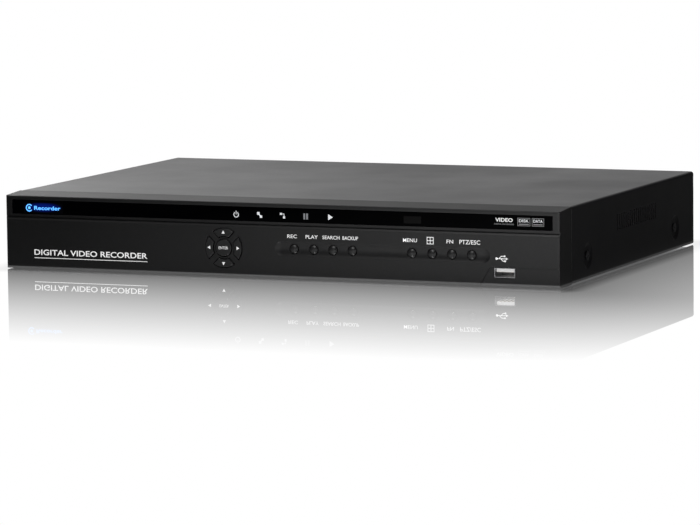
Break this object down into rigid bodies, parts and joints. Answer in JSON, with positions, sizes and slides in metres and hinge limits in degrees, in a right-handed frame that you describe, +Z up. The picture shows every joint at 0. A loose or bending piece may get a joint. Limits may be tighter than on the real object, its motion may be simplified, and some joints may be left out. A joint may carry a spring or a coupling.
{
  "type": "digital video recorder",
  "caption": "Flat desktop digital video recorder: steel case, plastic front with glossy window, direction pad, round keys and a data socket, video jacks behind.",
  "frame": {"origin": "centre of the bounding box at the surface under the feet", "axes": "+X to the right seen from the front, along the case's width; the front faces -Y; +Z up"},
  "size_m": [0.365, 0.2658, 0.047],
  "materials": {
    "zinc_steel": "zinc-plated sheet steel",
    "black_steel": "satin black powder coat",
    "front_plastic": "fine-textured dark grey moulding",
    "gloss_black": "polished black acrylic",
    "key_plastic": "satin dark grey",
    "black_plastic": "moulded",
    "white_plastic": "moulded",
    "green_plastic": "moulded",
    "blue_plastic": "moulded",
    "clear_plastic": "clear lamp resin",
    "circuit_board": "solder-masked glass-epoxy",
    "rubber": "matt",
    "screw_steel": "zinc plated",
    "black_screws": "blackened steel",
    "nickel": "nickel plated",
    "gold_contact": "gold flashed",
    "aluminium": "cast and anodised",
    "ribbon": "flat cable sheath"
  },
  "bodies": {
    "recorder": {"chassis_tray": "zinc_steel", "rear_panel": "black_steel", "top_cover": "black_steel", "front_bezel": "front_plastic", "window_strip": "gloss_black", "rubber_feet": "rubber", "foot_screws": "screw_steel", "cover_screws": "black_screws", "bezel_screws": "screw_steel", "keypad_board": "circuit_board", "tact_switches": "black_plastic", "indicator_lamps": "clear_plastic", "remote_receiver": "black_plastic", "front_usb_shell": "nickel", "socket_tongues": "black_plastic", "keypad_ribbon": "ribbon", "main_board": "circuit_board", "board_chips": "black_plastic", "heat_sink": "aluminium", "capacitors": "aluminium", "coin_cell": "nickel", "board_headers": "white_plastic", "board_standoffs": "nickel", "board_screws": "screw_steel", "drive_case": "aluminium", "drive_lid": "zinc_steel", "drive_screws": "screw_steel", "internal_cables": "ribbon", "bnc_jacks": "nickel", "bnc_insulators": "white_plastic", "centre_contacts": "gold_contact", "rca_block": "black_plastic", "rca_shells": "nickel", "vga_port": "nickel", "vga_insert": "blue_plastic", "vga_jackscrews": "nickel", "hdmi_port": "nickel", "lan_port": "nickel", "rear_usb_port": "nickel", "terminal_block": "green_plastic", "terminal_screws": "screw_steel", "dc_jack": "black_plastic", "switch_frame": "black_plastic", "fan_frame": "black_plastic", "fan_screws": "black_screws"},
    "key_up": {"key_up": "key_plastic"},
    "key_down": {"key_down": "key_plastic"},
    "key_left": {"key_left": "key_plastic"},
    "key_right": {"key_right": "key_plastic"},
    "key_enter": {"key_enter": "key_plastic"},
    "key_record": {"key_record": "key_plastic"},
    "key_play": {"key_play": "key_plastic"},
    "key_search": {"key_search": "key_plastic"},
    "key_backup": {"key_backup": "key_plastic"},
    "key_menu": {"key_menu": "key_plastic"},
    "key_split": {"key_split": "key_plastic"},
    "key_function": {"key_function": "key_plastic"},
    "key_escape": {"key_escape": "key_plastic"},
    "power_rocker": {"power_rocker": "black_plastic"},
    "fan_rotor": {"fan_rotor": "black_plastic"}
  },
  "joints": [
    {"name": "key_up_press", "type": "slide", "parent": "recorder", "child": "key_up", "axis": [0, 1, 0], "range_m": [0, 0.0005], "stiffness_N_per_m": 200, "springref_m": -0.0005},
    {"name": "key_down_press", "type": "slide", "parent": "recorder", "child": "key_down", "axis": [0, 1, 0], "range_m": [0, 0.0005], "stiffness_N_per_m": 200, "springref_m": -0.0005},
    {"name": "key_left_press", "type": "slide", "parent": "recorder", "child": "key_left", "axis": [0, 1, 0], "range_m": [0, 0.0005], "stiffness_N_per_m": 200, "springref_m": -0.0005},
    {"name": "key_right_press", "type": "slide", "parent": "recorder", "child": "key_right", "axis": [0, 1, 0], "range_m": [0, 0.0005], "stiffness_N_per_m": 200, "springref_m": -0.0005},
    {"name": "key_enter_press", "type": "slide", "parent": "recorder", "child": "key_enter", "axis": [0, 1, 0], "range_m": [0, 0.0005], "stiffness_N_per_m": 200, "springref_m": -0.0005},
    {"name": "key_record_press", "type": "slide", "parent": "recorder", "child": "key_record", "axis": [0, 1, 0], "range_m": [0, 0.0005], "stiffness_N_per_m": 200, "springref_m": -0.0005},
    {"name": "key_play_press", "type": "slide", "parent": "recorder", "child": "key_play", "axis": [0, 1, 0], "range_m": [0, 0.0005], "stiffness_N_per_m": 200, "springref_m": -0.0005},
    {"name": "key_search_press", "type": "slide", "parent": "recorder", "child": "key_search", "axis": [0, 1, 0], "range_m": [0, 0.0005], "stiffness_N_per_m": 200, "springref_m": -0.0005},
    {"name": "key_backup_press", "type": "slide", "parent": "recorder", "child": "key_backup", "axis": [0, 1, 0], "range_m": [0, 0.0005], "stiffness_N_per_m": 200, "springref_m": -0.0005},
    {"name": "key_menu_press", "type": "slide", "parent": "recorder", "child": "key_menu", "axis": [0, 1, 0], "range_m": [0, 0.0005], "stiffness_N_per_m": 200, "springref_m": -0.0005},
    {"name": "key_split_press", "type": "slide", "parent": "recorder", "child": "key_split", "axis": [0, 1, 0], "range_m": [0, 0.0005], "stiffness_N_per_m": 200, "springref_m": -0.0005},
    {"name": "key_function_press", "type": "slide", "parent": "recorder", "child": "key_function", "axis": [0, 1, 0], "range_m": [0, 0.0005], "stiffness_N_per_m": 200, "springref_m": -0.0005},
    {"name": "key_escape_press", "type": "slide", "parent": "recorder", "child": "key_escape", "axis": [0, 1, 0], "range_m": [0, 0.0005], "stiffness_N_per_m": 200, "springref_m": -0.0005},
    {"name": "power_rocker_tilt", "type": "hinge", "parent": "recorder", "child": "power_rocker", "pos_m": [0.145, 0.1189, 0.026], "axis": [1, 0, 0], "range_deg": [-20, 0]},
    {"name": "fan_spin", "type": "hinge", "parent": "recorder", "child": "fan_rotor", "pos_m": [-0.152, 0.115, 0.024], "axis": [0, 1, 0], "continuous": true}
  ]
}
